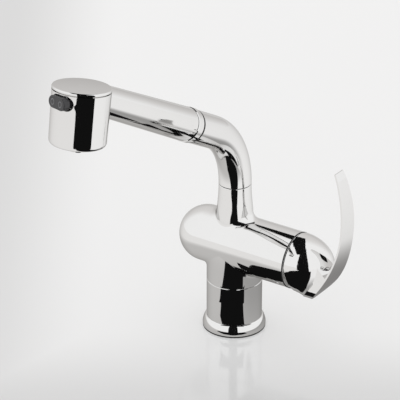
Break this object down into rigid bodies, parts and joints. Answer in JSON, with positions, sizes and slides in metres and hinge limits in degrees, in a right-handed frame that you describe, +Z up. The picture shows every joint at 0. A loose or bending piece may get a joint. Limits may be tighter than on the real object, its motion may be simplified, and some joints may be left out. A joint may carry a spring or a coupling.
{
  "type": "kitchen tap",
  "caption": "Deck-mounted single-lever kitchen mixer with a swivelling bent spout, a pull-out spray handset docked in it and a sickle-shaped side lever",
  "frame": {"origin": "centre of the base on the worktop plane, at the mouth of the hose way", "axes": "+Z up, -Y the way the spout points towards the user, +X along the lever's axis to the user's right"},
  "size_m": [0.158, 0.2546, 0.2889],
  "materials": {
    "chrome": "polished chrome plate on cast metal",
    "brass": "turned brass, bare",
    "steel": "bare stainless steel",
    "rubber": "black sealing rubber",
    "white_plastic": "moulded acetal",
    "grey_plastic": "soft dark grey plastic",
    "ceramic": "lapped alumina"
  },
  "bodies": {
    "base": {"base_seal": "rubber", "base_flange": "chrome", "base_column": "chrome", "tube_hot": "brass", "tube_cold": "brass", "tube_mixed": "brass", "mixer_body": "chrome", "cartridge_seal": "rubber", "cartridge_base": "white_plastic", "cartridge_housing": "white_plastic", "fixed_disc": "ceramic", "cartridge_nut": "brass", "bonnet": "chrome", "swivel_washer": "white_plastic", "swivel_screw": "steel"},
    "carrier": {"rotor": "white_plastic", "pivot_pin": "steel"},
    "disc": {"moving_disc": "ceramic"},
    "lever": {"lever_handle": "chrome", "lever_stem": "brass", "grub_screw": "steel", "index_plug": "grey_plastic"},
    "spout": {"spout_tube": "chrome", "swivel_spigot": "brass", "spigot_ring_upper": "rubber", "spigot_ring_lower": "rubber", "dock_sleeve": "chrome"},
    "handset": {"handset_shell": "chrome", "drum_cap": "chrome", "hose_nipple": "brass", "check_valve": "white_plastic", "waterway_tube": "white_plastic", "diverter_block": "white_plastic", "rocker_pin": "steel", "spray_plate": "grey_plastic", "outlet_nozzle": "chrome", "outlet_screen": "grey_plastic"},
    "button": {"rocker_button": "grey_plastic", "diverter_ball": "rubber"}
  },
  "joints": [
    {"name": "lever_temperature", "type": "hinge", "parent": "base", "child": "carrier", "pos_m": [0.045, 0, 0.077], "axis": [1, 0, 0], "range_deg": [-45, 45]},
    {"name": "lever_flow", "type": "hinge", "parent": "carrier", "child": "lever", "pos_m": [0.045, 0, 0.077], "axis": [0, 1, 0], "range_deg": [0, 14]},
    {"name": "disc_slide", "type": "slide", "parent": "carrier", "child": "disc", "axis": [0, 0, 1], "range_m": [0, 0.0024]},
    {"name": "spout_swivel", "type": "hinge", "parent": "base", "child": "spout", "pos_m": [0, 0, 0.13], "axis": [0, 0, 1], "range_deg": [-70, 70]},
    {"name": "handset_pull", "type": "slide", "parent": "spout", "child": "handset", "axis": [0, -0.8763, 0.4818], "range_m": [0, 0.4]},
    {"name": "selector_rock", "type": "hinge", "parent": "handset", "child": "button", "pos_m": [-0.00132, -0.21874, 0.27951], "axis": [0, 0.1616, 0.9869], "range_deg": [0, 22]}
  ],
  "couplings": [
    {"joint": "disc_slide", "follows": "lever_flow", "m_per_rad": 0.0094}
  ]
}
